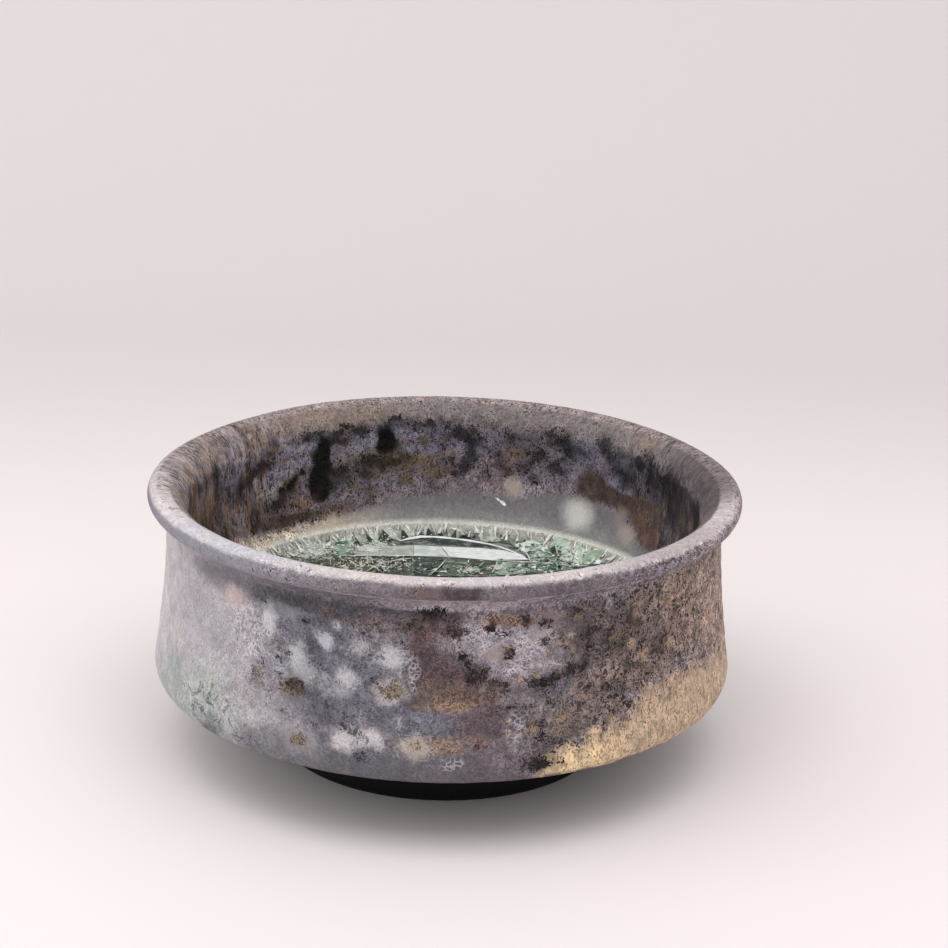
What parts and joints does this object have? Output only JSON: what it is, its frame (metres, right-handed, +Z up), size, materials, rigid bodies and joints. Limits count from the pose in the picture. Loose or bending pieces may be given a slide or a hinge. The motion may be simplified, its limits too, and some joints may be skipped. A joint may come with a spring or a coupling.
{
  "type": "gongfu teacup",
  "caption": "Low round stoneware teacup with a flared lip, a keeled wall, a foot ring and a pool of crackled glass melted into its bottom.",
  "frame": {"origin": "centre of the circle that the foot ring stands on", "axes": "+Z up along the cup's axis, +X and +Y across it; the side that faces the camera in the picture is -Y"},
  "size_m": [0.085, 0.085, 0.0395],
  "materials": {
    "wood_fired_glaze": "satin",
    "green_glass": "polished"
  },
  "bodies": {
    "root": {"cup_body": "wood_fired_glaze", "glass_pool": "green_glass"}
  },
  "joints": []
}
